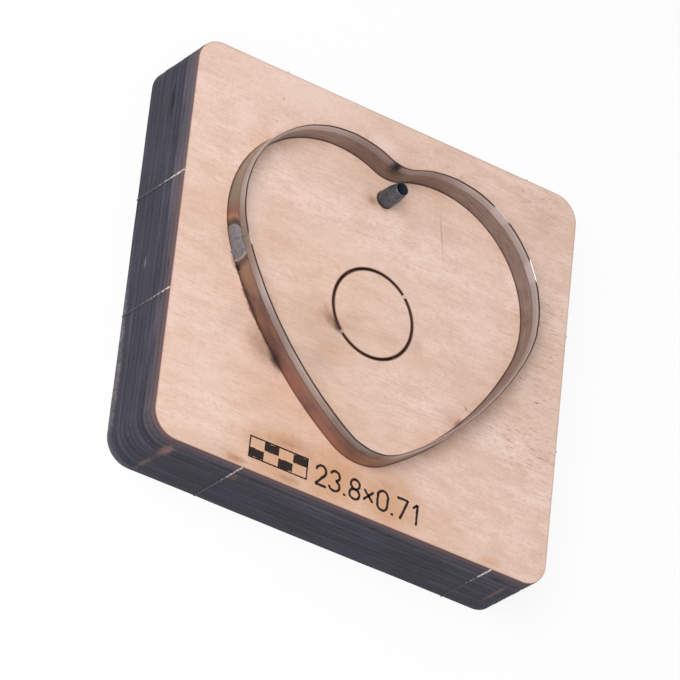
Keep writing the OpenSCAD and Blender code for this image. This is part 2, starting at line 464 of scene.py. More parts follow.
def bender_flats(where):
    """How far the strip is pulled in from the true arc. A flat of length 2h on an arc of radius r lies
    (h^2 - d^2) / 2r inside the arc at distance d from its middle. Weaker waves run round all of it."""
    d = where[:, None] - FLATS[:, 0]
    pull = -np.clip(FLATS[:, 1] ** 2 - d ** 2, 0, None).sum(1) / (2 * LOBE_R)
    return pull + sum(h * np.sin(2 * np.pi * where / long + phase) for h, long, phase in WAVES)


def glint_along(where, spans):
    """1 close to the middle of a span, where a glint is painted, and 0 a little further."""
    d = np.abs(where[:, None] - spans[:, 0]) / spans[:, 1]
    return step(d, 1.2, 0.75).max(1)


# Painted glints: on the inner bevel at the first two bender flats, and on the outer edge just below the
# joint
glint_in = 0.6 * glint_along(where, FLATS[:2])
glint_out = 0.4 * glint_along(where, np.array([[JOINT_S - 1.2, 1.0]]))
middle, normal = heart(where)
above = step(profile[:, 1], BOARD_T, RULE_H - 1.0)
offset = profile[:, 0] + bender_flats(where)[:, None] * above
nick = NICK_DEPTH * np.exp(-(from_joint / NICK_REACH) ** 2)
height = np.maximum(profile[:, 1], foot_z[:, None])
height = np.minimum(height, EDGE_Z - nick[:, None])
rule_plan = middle[:, None, :] + offset[..., None] * normal[:, None, :]
rule_points = np.concatenate([rule_plan, height[..., None]], -1)
UV_SCALE = 0.01
across = np.concatenate([profile[:, 1], [0.0]])
rule_uv = np.stack(np.broadcast_arrays(steps[:, None] * UV_SCALE, across * UV_SCALE), -1)
rule_fields = {"from_joint": np.broadcast_to(from_joint[:, None], height.shape),
               "glint": np.where(outside > 0, glint_out[:, None], glint_in[:, None]),
               "outside": np.broadcast_to(outside, height.shape)}
rule = grid_piece("cutting_rule", rule_points, caps=True, uv=rule_uv, fields=rule_fields)

# %% [markdown]
# ## The tube punch
# The punch is turned on a lathe, so its profile is spun round an axis: up the bore, over the thin
# cutting edge, down the taper and the outside. A few extra points round the shoulder of the taper and
# the mouth of the bore.

# %% The punch's surface
BORE_R, EDGE_R, TAPER = 1.4, 1.5, 3.0
lathe = np.array([
    [BORE_R, 0.12], [BORE_R, 8.0], [BORE_R, 18.0], [BORE_R, RULE_H - 0.25],
    [BORE_R + 0.02, RULE_H - 0.06], [BORE_R + 0.05, RULE_H], [EDGE_R - 0.01, RULE_H - 0.01],
    [EDGE_R + 0.03, RULE_H - 0.12], [PUNCH_R - 0.06, RULE_H - TAPER + 0.25],
    [PUNCH_R, RULE_H - TAPER - 0.15], [PUNCH_R, BOARD_T + 0.4], [PUNCH_R, BOARD_T - 2],
    [PUNCH_R, 0.15], [PUNCH_R - 0.12, 0.0], [BORE_R + 0.1, 0.0]])
SPIN_STEPS = 96
spun = np.linspace(0, 2 * np.pi, SPIN_STEPS + 1)
spin = spun[:-1, None]
lathe_r, lathe_z = lathe.T
punch_points = np.stack(np.broadcast_arrays(
    lathe_r * np.cos(spin), PUNCH_Y + lathe_r * np.sin(spin), lathe_z), -1)
lathe_up = np.append(lathe_z, lathe_z[0])
punch_uv = np.stack(np.broadcast_arrays(spun[:, None] * PUNCH_R * UV_SCALE, lathe_up * UV_SCALE), -1)
punch = grid_piece("tube_punch", punch_points, close_rows=True, uv=punch_uv)

# %% [markdown]
# ## The weld
# The ends of the strip are joined by a short weld on the outside, filed flat. Its surface is the rule's
# own outer face pushed out by a thickness that falls off towards the rim like a rounded pad, plus low
# waves, file marks and three burrs at its foot. The back rows lie on the rule, so the pad is closed.

# %% The weld's surface
WELD_L, WELD_T, WELD_Z0, WELD_Z1 = 7.8, 0.38, BOARD_T + 0.01, weld_top
PAD_U, PAD_V = 90, 48
THINNEST, THICKEST = 0.012, 0.46
LOW_WAVE, FILE_UP, FILE_ALONG = 0.03, 0.014, 0.02
# Burrs along the foot: place along the pad, height, width
BURRS = [(0.40, 0.55, 0.06), (0.58, 0.22, 0.05), (0.93, 0.40, 0.06)]
U, V = np.meshgrid(np.linspace(-1, 1, PAD_U), np.linspace(-1, 1, PAD_V), indexing="ij")


def pad_thickness(u, v):
    """A pad that is thick in the middle and falls to nothing at its rim: full thickness times
    (1 - u^6)(1 - v^4) to the power 0.7, with low waves, file marks and burrs along its foot."""
    rim = ((1 - u ** 6) * (1 - v ** 4)) ** 0.7
    waves = LOW_WAVE * np.outer(smooth_noise(PAD_U, 14), smooth_noise(PAD_V, 4))
    marks = FILE_UP * smooth_noise(PAD_V, 20) + FILE_ALONG * smooth_noise(PAD_U, 18)[:, None]
    burrs = sum(h * np.exp(-((u - at) / w) ** 2 - ((v + 1) / 0.3) ** 2) for at, h, w in BURRS)
    top = np.clip((1 - v) / 0.9, 0, 1) ** 0.6
    return np.clip(rim * top * (WELD_T + waves + marks), THINNEST, THICKEST) + burrs


END_ROUND, END_POWER = 0.45, 2.2


def pad_reach(u, v):
    """Share of the half length that the pad reaches at a height: its end above the joint is rounded off,
    1 - 0.45 ((v + 0.4) / 1.4)^2.2, and its end below the joint falls by an eighth."""
    above_joint = 1 - END_ROUND * np.clip((v + 0.4) / 1.4, 0, 1) ** END_POWER
    below_joint = 1 - 0.12 * step(v, 0.1, 1.0)
    return np.where(u < 0, above_joint, below_joint) - 0.05 * step(-v, 0.6, 1.0)


pad_at, pad_out = heart((JOINT_S - U * pad_reach(U, V) * WELD_L / 2).ravel())
pad_z = (WELD_Z0 + (V + 1) / 2 * (WELD_Z1 - WELD_Z0)).reshape(-1, 1)
front = np.concatenate([pad_at + pad_out * (half_t + pad_thickness(U, V)).reshape(-1, 1), pad_z], 1)
back = np.concatenate([pad_at + pad_out * (half_t - 0.01), pad_z], 1)
front, back = front.reshape(PAD_U, PAD_V, 3), back.reshape(PAD_U, PAD_V, 3)
# Painted highlight on the pad's rim: full along its end below the joint, half along the other
pad_rim_highlight = step(np.abs(U), 0.78, 0.96) * np.where(U > 0, 1.0, 0.5)
pad_fields = {"rim": np.concatenate([pad_rim_highlight, pad_rim_highlight[:, ::-1]], 1),
              "foot": np.concatenate([-V, -V[:, ::-1]], 1)}
weld = grid_piece("weld", np.concatenate([front, back[:, ::-1]], 1), caps=True, fields=pad_fields)

# %% [markdown]
# ## The burned edge of the board
# A laser leaves the edge of plywood black and ribbed: the plies that lie across the beam burn back
# further, the glue lines stand proud, and the beam's pulses draw fine upright lines. A bump map would
# only shade that, so the crust is a thin band of its own round the board: a rounded rectangle carried
# up through the plies, pushed out by the sum of those three effects. It covers the plain edge of the
# frame and ends under the face veneer.

# %% The crust's surface
straight_x, straight_y = 2 * (HALF_W - CORNER_R), 2 * (HALF_D - CORNER_R)
bend = CORNER_R * np.pi / 2
stretch = np.array([straight_x, bend, straight_y, bend] * 2)
stretch_start = np.concatenate([[0], np.cumsum(stretch)])
AROUND = stretch_start[-1]
corner_sign = np.array([[1, -1], [1, 1], [-1, 1], [-1, -1]])


def outline(s):
    """Points and outward normals round the board, anticlockwise from the left end of the front edge. On a
    straight stretch the point slides along the edge; on a corner it turns about the corner's centre."""
    k = np.clip(np.searchsorted(stretch_start, s, side="right") - 1, 0, 7)
    t = s - stretch_start[k]
    quarter = k // 2
    on_bend = k % 2 == 1
    angle = -np.pi / 2 + quarter * np.pi / 2 + np.where(on_bend, t / CORNER_R, 0)
    normal = np.stack([np.cos(angle), np.sin(angle)], -1)
    centre = corner_sign[quarter] * np.array([HALF_W - CORNER_R, HALF_D - CORNER_R])
    along = np.stack([-normal[:, 1], normal[:, 0]], -1)
    back = np.where(on_bend, 0, t - stretch[k])
    return centre + CORNER_R * normal + back[:, None] * along, normal


PLIES, COLUMNS, ROWS = 11, 820, 78
CRUST_LOW, CRUST_HIGH, CRUST_MAX, CRUST_BACK = 0.03, BOARD_T - 0.012, 0.19, 0.32
# Heights in mm: the mean skin, the steps of the plies with their scatter and waves, and the fine patterns
SKIN, PLY_STEP, PLY_SCATTER, PLY_WAVE = 0.055, 0.035, 0.012, 0.018
STREAK, GLUE_LINE, PULSE, PULSE_LENGTH = 0.012, 0.02, 0.006, 0.92
THIN, THINNEST_SKIN = 0.12, 0.008
crust_s = np.linspace(0, AROUND, COLUMNS, endpoint=False)
crust_z = np.linspace(CRUST_LOW, CRUST_HIGH, ROWS)
ply_t = BOARD_T / PLIES
ply = np.clip((crust_z / ply_t).astype(int), 0, PLIES - 1)
inside_ply = crust_z / ply_t - ply
ply_depth = np.stack([
    PLY_STEP * (k % 2 == 0) + PLY_SCATTER * rng.standard_normal()
    + PLY_WAVE * smooth_noise(COLUMNS, 48, True)
    for k in range(PLIES)])
glue = np.exp(-((inside_ply - 0.5) ** 2 - 0.25) ** 2 / 0.004)
streaks = np.stack([smooth_noise(COLUMNS, 70, True) for _ in range(ROWS // 2)])[np.arange(ROWS) // 2]
pulses = PULSE * np.sin(2 * np.pi * crust_s / PULSE_LENGTH + 2.0 * smooth_noise(COLUMNS, 120, True))
relief = SKIN + ply_depth[ply] + STREAK * streaks + GLUE_LINE * glue[:, None] + pulses
# The beam enters at the face, so the crust thins out towards the top rim
thin_rim = THIN + (1 - THIN) * step(BOARD_T - crust_z, 0.0, 0.9)
relief = np.clip(relief * thin_rim[:, None], THINNEST_SKIN, CRUST_MAX).T
crust_at, crust_out = outline(crust_s)
# Two more columns lie inside the board and close the band
push = np.concatenate([relief, np.full((COLUMNS, 2), -CRUST_BACK)], 1)
skin = crust_at[:, None, :] + crust_out[:, None, :] * push[..., None]
rise_z = np.broadcast_to(np.append(crust_z, [CRUST_HIGH, CRUST_LOW]), push.shape)
crust_points = np.concatenate([skin, rise_z[..., None]], -1)
proud = np.clip(push, 0, None) / CRUST_MAX
crust = grid_piece("burned_edge", crust_points, close_rows=True, fields={"proud": proud})

# %% [markdown]
# ## Burned marks
# The laser also draws on the face: here a checkered scale bar, and the rule's height and thickness as
# plain numbers. Each stroke is a thin ridge of char carried along a line, round at its ends unless it
# is asked to be square, with a slightly ragged edge.

# %% Marks on the face
MARK_Z, MARK_H, INSET = BOARD_T - 0.02, 0.035, 0.15
MARK_Y = -43.5
mark_points, mark_faces = [], []


def stroke(points, width, ragged=0.10, square=False):
    """A flat ridge along a polyline in mm. The half width is constant, and over the last half width at
    each end it falls like a circle."""
    points = np.asarray(points, float)
    lengths = np.concatenate([[0], np.cumsum(np.linalg.norm(np.diff(points, axis=0), axis=1))])
    ends = 0.0 if square else width / 2
    s = np.linspace(-ends, lengths[-1] + ends, max(9, int(lengths[-1] / 0.12)))
    on_line = np.clip(s, 0, lengths[-1])
    place = np.stack([np.interp(on_line, lengths, points[:, k]) for k in range(2)], -1)
    k = np.clip(np.searchsorted(lengths, on_line, side="right") - 1, 0, len(points) - 2)
    way = (points[k + 1] - points[k]) / np.linalg.norm(points[k + 1] - points[k], axis=1, keepdims=True)
    beyond = s - on_line
    place = place + beyond[:, None] * way
    half = width / 2 * np.sqrt(np.clip(1 - (np.abs(beyond) / max(ends, 1e-6)) ** 2, 0.01, 1))
    rag = 1 + ragged * np.stack([smooth_noise(len(s), max(2, len(s) // 3)) for _ in range(2)], 1)
    side = np.stack([-way[:, 1], way[:, 0]], -1)
    left, right = place + side * (half * rag[:, 0])[:, None], place - side * (half * rag[:, 1])[:, None]
    top_left = left * (1 - INSET) + right * INSET
    top_right = left * INSET + right * (1 - INSET)
    ring = [np.concatenate([p, np.full((len(s), 1), z)], 1) for p, z in
            ((left, MARK_Z), (top_left, MARK_Z + MARK_H), (top_right, MARK_Z + MARK_H), (right, MARK_Z))]
    quads, _ = grid_faces(len(s), 4, False)
    start = sum(len(p) for p in mark_points)
    last = start + (len(s) - 1) * 4
    mark_points.append(np.stack(ring, 1).reshape(-1, 3))
    mark_faces.extend((quads + start).tolist())
    mark_faces.extend([[start + 3, start + 2, start + 1, start], [last, last + 1, last + 2, last + 3]])


def curve(cx, cy, rx, ry, first, last, count=22):
    """Points on an ellipse between two angles in degrees."""
    a = np.radians(np.linspace(first, last, count))
    return np.stack([cx + rx * np.cos(a), cy + ry * np.sin(a)], -1)


# Signs of the numbers, 2.5 mm wide and 4.4 mm high, by their strokes
GLYPHS = {
    "0": [np.concatenate([curve(1.25, 3.05, 1.25, 1.35, 180, 0), curve(1.25, 1.35, 1.25, 1.35, 0, -180),
                          [[0, 3.05]]])],
    "1": [[[0.5, 3.5], [1.4, 4.4], [1.4, 0]]],
    "2": [np.concatenate([curve(1.25, 3.15, 1.2, 1.25, 165, -35), [[0.05, 0], [2.5, 0]]])],
    "3": [np.concatenate([curve(1.2, 3.3, 1.15, 1.1, 150, -80), curve(1.2, 1.1, 1.3, 1.15, 80, -155)])],
    "7": [[[0, 4.4], [2.5, 4.4], [0.9, 0]]],
    "8": [curve(1.25, 3.3, 1.1, 1.1, 90, 450), curve(1.25, 1.1, 1.25, 1.1, 90, 450)],
    ".": [[[0.3, 0.05], [0.34, 0.05]]],
    "x": [[[0.2, 1.0], [2.2, 3.0]], [[0.2, 3.0], [2.2, 1.0]]],
}
PEN, FINE_PEN, ADVANCE, NARROW = 0.72, 0.42, 3.5, 1.5
pen_x = -9.6
for glyph in "23.8x0.71":
    for line in GLYPHS[glyph]:
        stroke(np.asarray(line) + np.array([pen_x, MARK_Y]), PEN)
    pen_x += NARROW if glyph == "." else ADVANCE
CELLS, CELL_W, CELL_H, BAR_X = 4, 3.55, 2.3, -26.0
for k in range(CELLS):
    x, y = BAR_X + CELL_W * k, MARK_Y + CELL_H * (0.5 + k % 2)
    stroke([[x, y], [x + CELL_W, y]], CELL_H, 0.05, True)
for y in (MARK_Y, MARK_Y + 2 * CELL_H):
    stroke([[BAR_X, y], [BAR_X + CELLS * CELL_W, y]], FINE_PEN)
for x in (BAR_X, BAR_X + CELLS * CELL_W):
    stroke([[x, MARK_Y], [x, MARK_Y + 2 * CELL_H]], FINE_PEN)
mark_mesh = bpy.data.meshes.new("burned_marks")
mark_mesh.from_pydata((np.concatenate(mark_points) * MM).tolist(), [], mark_faces)
marks = add_object("burned_marks", mark_mesh)
print("burned_marks", len(mark_mesh.polygons), "faces, ends at x =", round(pen_x - 1.0, 1))

# %% [markdown]
# ## Shared shader groups
# Several finishes need the same effects. A soft spot is an ellipse with a ragged rim, for scorch and
# dirt. Char is the black, faintly blue crust of burned wood. Strokes are the fine parallel lines that
# grinding and turning leave on steel. Each is one group with named sockets.

# %% Group: soft spot
spot_group, given, result = new_group(
    "soft_spot", {"Place": "Vector", "Wobble": "Float", "Centre": "Vector", "Along": "Vector",
                  "Across": "Vector"}, {"Mask": "Float"})
offset = given["Place"] - given["Centre"]
along = offset.math("DOT_PRODUCT", given["Along"])
across = offset.math("DOT_PRODUCT", given["Across"])
far = along.math("MULTIPLY_ADD", along, across * across).math("SQRT")
(far + given["Wobble"]).spread(1, 0).into(result, "Mask")


def spot(place, wobble, cx, cy, rx, ry, weight, turn_deg=0):
    """Mask of an ellipse: its middle, half length, half width, strength, and turn in degrees. wobble frays
    its rim."""
    turn = np.radians(turn_deg)
    along = np.array((np.cos(turn), np.sin(turn), 0)) / rx
    across = np.array((-np.sin(turn), np.cos(turn), 0)) / ry
    ellipse = place.wires.group(spot_group, Place=place, Wobble=wobble, Centre=(cx, cy, 0),
                                Along=along, Across=across)
    return ellipse["Mask"] * weight


def fray(place, amount):
    """Noise about zero for the rim of spots."""
    return (place.noise(0.9, 4, 0.6) - 0.5) * amount


# %% Group: char
char_group, given, result = new_group(
    "char", {"Place": "Vector", "Brown": "Float", "Tone": "Float"},
    {"Color": "Color", "Roughness": "Float", "Height": "Float"})
fine = given["Place"].noise((0.16, 0.16, 4.6), 6, 0.72)
dust = given["Place"].noise(3.2, 4, 0.75)
level = fine * 0.6 + given["Tone"] * 0.55
char = level.ramp((0.25, 31, 30, 38), (0.55, 61, 60, 71), (0.85, 89, 87, 100))
char.tint(given["Brown"], 106, 83, 86)
char.tint(dust.spread(0.56, 0.70, 0.5), 130, 123, 130)
char.tint(dust.spread(0.44, 0.32, 0.55), 34, 32, 38)
char.into(result, "Color")
fine.spread(0.2, 0.8, 0.62, 0.9).into(result, "Roughness")
(fine + dust * 0.4).into(result, "Height")

# %% Group: grinding strokes
strokes_group, given, result = new_group(
    "strokes", {"Place": "Vector", "Stretch": "Vector", "Amount": "Float"},
    {"Tone": "Float", "Height": "Float"})
lines = (given["Place"] * given["Stretch"]).noise(1, 4, 0.6)
cloud = given["Place"].noise(9, 2, 0.5)
both = (lines - 0.5) * given["Amount"] + (cloud - 0.5) * 0.25
(both + 1).into(result, "Tone")
lines.into(result, "Height")

# %% [markdown]
# ## Distance to the nearest cut
# Scorch follows the cuts, so the wood has to know how far each point is from them. The slot's distance
# comes from the same four arcs: for a point, the distance to a circle is the distance to its centre
# less the radius, and the angle round the long side's centre tells which arc is the nearest. The ring
# and the punch are circles.

# %% Group: cut distance
cut_group, given, result = new_group(
    "cut_distance", {"Place": "Vector"}, {"Distance": "Float", "Slot": "Float"})
flat = abs(given["Place"]) * (1, 0, 0) + given["Place"] * (0, 1, 0)


def to_circle(place, centre, radius):
    """Distance from a point to a circle's line."""
    gap = place.math("DISTANCE", (centre[0], centre[1], 0))
    return abs(gap - radius)


def angle_about(place, centre):
    """Angle of a point round a centre."""
    x, y, _ = (place - (centre[0], centre[1], 0)).apart()
    return y.math("ARCTAN2", x)


to_notch, to_lobe, to_side, to_tip = (to_circle(flat, c, r) for c, r in zip(arc_centre, arc_radius))
about_side, about_notch = angle_about(flat, side_c), angle_about(flat, notch_c)
upper = (about_notch < notch_a).choose(to_lobe, to_notch)
sides = (about_side < lobe_a).choose(upper, to_side)
slot_gap = (about_side < tip_a).choose(sides, to_tip)
in_plan = given["Place"] * (1, 1, 0)
ring_gap = to_circle(in_plan, (0, RING_Y), RING_R) + (KERF - RING_W) / 2
hole_gap = to_circle(in_plan, (0, PUNCH_Y), PUNCH_R - KERF / 2)
nearest = slot_gap.least(ring_gap).least(hole_gap)
(nearest - KERF / 2).into(result, "Distance")
(slot_gap - KERF / 2).into(result, "Slot")

# %% [markdown]
# ## The plywood
# The face is a pale, slightly pink veneer with its grain along X: broad soft bands, fine fibres, and
# Kerf walls are scorched brown at the top and painted pale below, painted light against their shade. The
# stubs on the outer edge are raw wood that broke when the board was snapped out of its sheet.

# %% Plywood finish
plywood, wires = new_finish("plywood", Specular_IOR_Level=0.25)
place = wires.millimetres()
x, y, z = place.apart()
flat_place = place * (1, 1, 0)
metres = wires.value("TexCoord", output="Object")
plan_point = wires.value("Mapping", {"Vector": metres, "Scale": (1 / MM, 1 / MM, 0)})
bands = place.noise((0.016, 0.075, 0.05), 3, 0.5)
mottle = place.noise((0.16, 0.34, 0.3), 6, 0.68)
fibres = place.noise((0.20, 2.6, 1), 4, 0.62)
pores = place.noise((0.62, 4.4, 1), 2, 0.5)
veneer = bands.ramp((0.32, 225, 193, 174), (0.48, 232, 202, 186), (0.66, 240, 213, 201))
veneer.tint(mottle.spread(0.38, 0.68, 0.6), 213, 178, 158)
veneer.tint(fibres.spread(0.42, 0.74, 0.5), 205, 168, 148)
threads = place.noise((1.1, 6.5, 2), 3, 0.65)
veneer.tint(threads.spread(0.46, 0.70, 0.42), 208, 172, 152)
veneer.tint(threads.spread(0.46, 0.30, 0.36), 243, 218, 206)
clouds = flat_place.noise(0.9, 4, 0.7)
veneer.tint(clouds.spread(0.48, 0.68, 0.38), 210, 174, 152)


def spots(table, ragged):
    """The strongest of a list of spots: x, y, half length, half width, strength and any turn."""
    wobble = fray(plan_point, ragged)
    total = spot(flat_place, wobble, *table[0])
    for row in table[1:]:
        total = total.most(spot(flat_place, wobble, *row))
    return total


POROUS = [
    (40, 42, 10, 6, 1), (42, 8, 11, 28, 1), (40, -16, 15, 13, 1), (14, 40, 14, 5, 0.6)]
# Pale patches; the two tall ones beside the rule's left and right walls are painted light
PALE_AND_PAINTED_LIGHT = [
    (-24, 43, 28, 9, 0.6), (-10, 12, 28, 6, 0.45), (-38, -30, 9, 9, 0.3), (-32, 13, 6, 12, 0.55),
    (27, 6, 5, 14, 0.4), (-2, 39, 6, 5, 0.8), (-36, 32, 6, 5, 0.6), (39, -2, 4, 5, 0.35)]
SMOKE = [
    (-18, -41, 17, 12, 0.68), (-5, -41, 18, 13, 0.78), (8, -41.5, 16, 12, 0.74), (22, -42, 20, 9, 0.26),
    (-27, -19.3, 8, 5, 0.26, -35), (23.2, -16.6, 4.4, 3.2, 0.42, 45), (-10.6, -5.6, 7.5, 4.6, 0.4, -10),
    (-8.5, -13, 8, 4, 0.36, 10), (-3.2, 25.6, 3.6, 3, 0.4), (-29, -45, 5, 2.2, 0.45),
    (35, -45, 5, 2.2, 0.4), (-32, 28, 8, 5, 0.25, 40), (-16, -30, 24, 16, 0.28), (-14, 4, 28, 26, 0.14),
    (34, -38, 28, 16, 0.12)]
TOAST = [
    (-17, -37.2, 9, 2.6, 0.34, 3), (-25, -38.5, 4, 2.4, 0.25, 20), (-12, -38.2, 3.5, 1.8, 0.25, -10),
    (-29, -45.4, 3.4, 1.3, 0.55), (-16, -45.2, 5, 1.4, 0.4), (8, -37.4, 4, 1.5, 0.2, -5),
    (-11.4, -3.2, 2.2, 1, 0.2, -35), (-9.6, -5, 2, 1, 0.25, -40)]
SCORCH = [
    (-25.4, -18.2, 8.5, 4.6, 0.5, -44), (-23, -19.6, 5.6, 2.8, 0.8, -50),
    (-9.6, -5.9, 5, 2.4, 0.6, -32), (23.6, -17, 2.6, 1, 0.6, 50), (25.4, -12.9, 0.8, 0.4, 0.8, -55),
    (26.5, -13.2, 0.7, 0.35, 0.4, -10), (-2.9, 25.6, 2.4, 1.8, 0.5), (-34.8, -2.2, 2.4, 1.1, 0.5, -68),
    (-11, -8.5, 13, 9, 0.12, -15), (15, 24.6, 7.8, 0.3, 0.42, -80.1), (42, 29, 7, 8, 0.06),
    (40.5, 40, 4, 7, 0.12), (42.5, 17.5, 5, 6, 0.1), (44, -3, 7, 2, 0.1), (11.6, -3.4, 2.4, 3.2, 0.16),
    (3.5, -5, 5.5, 2.6, 0.1), (-13, -13.5, 5, 3, 0.12), (44, -4, 6, 5, 0.09), (-33, -44.5, 8, 4, 0.12),
    (-12, -16, 8, 7, 0.19), (-5, -5, 6, 4, 0.14), (-33, -14, 4, 7, 0.16, -30), (-4, 27, 4, 4, 0.14),
    (5, -33, 5, 5, 0.12), (21, -17, 5, 5, 0.1)]
SOOT = [
    (-22.3, -20.4, 3.4, 1.2, 0.95, -50), (-8.6, -6.2, 2, 0.9, 0.7, -38), (24, -17.2, 1.6, 0.4, 0.7, 52),
    (43, -4.6, 0.9, 0.28, 0.8, 10), (-8.3, -7, 1.9, 0.95, 0.8, -40), (-27.4, 40, 0.5, 0.9, 0.25, 10),
    (-28.6, 34, 0.4, 0.5, 0.25), (-38.8, 27, 0.3, 0.3, 0.4), (-34, -3.1, 1.3, 0.5, 0.95, -66),
    (-16.5, -37.4, 3, 0.6, 0.2, 8), (0, 24.6, 2.6, 0.6, 0.4)]
veneer.tint(spots(PALE_AND_PAINTED_LIGHT, 0.8), 239, 213, 202)
open_grain = spots(POROUS, 1.2).spread(0, 0.7, 0.15, 0.9)
pore_mask = pores.spread(0.57, 0.74) * open_grain
veneer.tint(pore_mask, 171, 134, 116)
cut = wires.group(cut_group, Place=place)
breath = flat_place.noise(0.16, 2, 0.5)
BRIDGES = [(7.2, RING_Y + 7, 0.9, 1, 0.9, 44), (-7.2, RING_Y - 7, 0.9, 1, 0.7, 44)]
bare = 1 - spots(BRIDGES, 0.2)
lip = cut["Distance"].spread(0.3, 0) * bare
halo = cut["Slot"].spread(3.2, 0, 0.3) * breath.spread(0.35, 0.7)
smoke = spots(SMOKE, 0.5).most(halo)
veneer.tint(smoke, 200, 146, 100)
veneer.tint(spots(TOAST, 0.9), 152, 98, 62)
veneer.tint(spots(SCORCH, 0.6), 112, 82, 68)
veneer.tint(lip * 0.72, 112, 80, 64)
# Along the slot a dark line where the rule stands: burned lip, and painted shade in the gap at the rule's
# foot
slot_burn_and_shade = cut["Slot"].spread(0.22, 0, 0.9) * y.spread(-26, -12, 0.45, 1)
slot_burn_and_shade *= flat_place.noise(0.7, 3, 0.6).spread(0.36, 0.56, 0.5, 1)
veneer.tint(slot_burn_and_shade, 88, 58, 46)
# Along the slot below the weld the lip of the cut is torn and burned to a wavy brown fringe
torn_lip = (flat_place.noise(0.55, 2, 0.5) - 0.4) * 2.4
ragged_lip = (cut["Slot"] - torn_lip).spread(0.25, 0)
ragged_lip *= spots([(-29.6, -10.5, 15, 5, 1, -57)], 0.2)
veneer.tint(ragged_lip * 0.75, 92, 70, 60)
veneer.tint(spots(SOOT, 0.5), 58, 46, 44)

# Distance outside the rounded rectangle of the board: negative on the face, positive on the stubs
corner = abs(flat_place) - (HALF_W - CORNER_R, HALF_D - CORNER_R, 0)
past = corner.math("MAXIMUM", (0, 0, 0)).math("LENGTH") - CORNER_R
veneer.tint(past.spread(-0.4, 0, 0.4), 150, 116, 102)

lean = wires.value("NewGeometry", output="True Normal").apart()[2]
upright = abs(lean) < 0.5
burned = wires.group(char_group, Place=place, Brown=0.25, Tone=0.1)
torn = place.noise((4, 4, 1.1), 3, 0.7)
stub_fade = (z + torn * 26).spread(22, 28)
chips = place.noise((1, 1, 0.9), 3, 0.65).spread(0.4, 0.56, 0.2, 1)
# Below their raw tops the stubs are painted lighter on the left and darker on the right: painted light and
# shade that even out their own shading
stub = x.spread(0, 20).blend(rgb(84, 80, 88), rgb(77, 74, 81))
stub.tint(stub_fade * chips, 226, 212, 202)
# Deep in a kerf the wall is painted pale, painted light against the kerf's shade, so that it does not look
# like a black hole
kerf_painted_light = z.spread(14.2, 16.9).blend(rgb(240, 203, 180), rgb(98, 69, 61))
kerf_wall = cut["Distance"].spread(0.25, 0.1).blend(burned["Color"], kerf_painted_light)
walls = past.spread(0, 0.05, kind="LINEAR").blend(kerf_wall, stub)
cover(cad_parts["die_board"], plywood, upright.blend(veneer, walls),
      fibres.spread(0.2, 0.8, 0.62, 0.78), fibres * 0.6 - pore_mask * 0.7, strength=0.25, depth=0.04)

# %% [markdown]
# ## Finish of the crust and the marks
# Both are char. The crust is browner in the top ply, where the beam was cooler, and lighter where the
# relief stands proud. A few brown patches are left near the front corners, where the beam moved faster.

# %% Crust and marks finish
finish, wires = new_finish("burned_edge", Specular_IOR_Level=0.2)
place = wires.millimetres()
x, y, z = place.apart()
drift = place.noise((0.06, 0.06, 0.35), 3, 0.55)
level = z + (drift - 0.5) * 5
tone = wires.field("proud") * 0.35 + drift * 0.65 + level.spread(12.4, 15, 0.2)
rim_brown = level.spread(12.6, 17.3, 0.7) * y.spread(24, 12, 0.5, 1)
front_place = wires.value("CombineXYZ", {0: x, 1: z})
left_place = wires.value("CombineXYZ", {0: y, 1: z})
on_front = y < CORNER_R - HALF_D
on_left = x < CORNER_R - HALF_W
front_rim = z.spread(16.8, 15.8, 0.5) * on_front
rim_brown *= 1 - front_rim
edge_char = wires.group(char_group, Place=place, Brown=rim_brown, Tone=tone)
plies_up = z / ply_t
glue_line = abs(plies_up.math("FRACT") - 0.5).spread(0.36, 0.48)
broken = place.noise((0.09, 0.09, 0.7), 3, 0.6).spread(0.36, 0.6, 0.35, 1)
line_number = plies_up.math("ROUND")
line_strength = wires.value("TexWhiteNoise", {"W": line_number}, output="Value", noise_dimensions="1D")
glue_line *= broken * line_strength.spread(0.1, 0.8, 0.3, 0.95)
# The glue lines above some plies show darker on one edge: edge, number of the ply, strength
DARK_LINES = [(on_front, 9, 0.6), (on_front, 6, 0.4), (on_front, 4, 0.4),
              (on_left, 8, 0.5), (on_left, 4, 0.3)]
for only, number, weight in DARK_LINES:
    off = abs(z - number * ply_t)
    glue_line = glue_line.most(off.spread(0.75, 0.15, weight) * only * broken)
colour = edge_char["Color"]
colour.tint(glue_line, 34, 32, 38)
colour.tint(z.spread(16.2, 17.3, 0.5), 112, 80, 76)
high_left = level.spread(12.6, 14, 0.14) * y.spread(-2, 14)
colour.tint(high_left * on_left, 128, 121, 127)
# Spots on an edge: edge, distance along it, height, half sizes, strength, raggedness, colour
front, left = (front_place, on_front), (left_place, on_left)
EDGE_SPOTS = [
    (front, -42.2, 12.3, 1.9, 3.6, 0.85, 1.3, 140, 109, 100),
    (front, -42.4, 5, 1, 5.5, 0.45, 1.3, 140, 109, 100),
    (front, -25.9, 12.6, 1.5, 2.2, 0.35, 1.3, 140, 109, 100),
    (front, 42.6, 9.5, 0.8, 7, 0.45, 1.3, 140, 109, 100),
    (front, 39.2, 14.4, 3, 1.5, 0.7, 0.6, 36, 31, 36),
    (left, 33.8, 9.3, 6.2, 1.2, 1, 0.6, 20, 19, 28),
    (left, -7.4, 15.6, 1.8, 0.5, 0.8, 0.6, 40, 34, 40),
    (left, -3.6, 6.4, 1.9, 0.5, 0.6, 0.6, 150, 144, 148)]
for (where, only), along, up, wide, high, weight, ragged, *stain in EDGE_SPOTS:
    mask = spot(where, fray(where, ragged), along, up, wide, high, weight) * only
    colour.tint(mask, *stain)
foot_wear = level.spread(1.8, 0.2) * y.spread(4, -14)
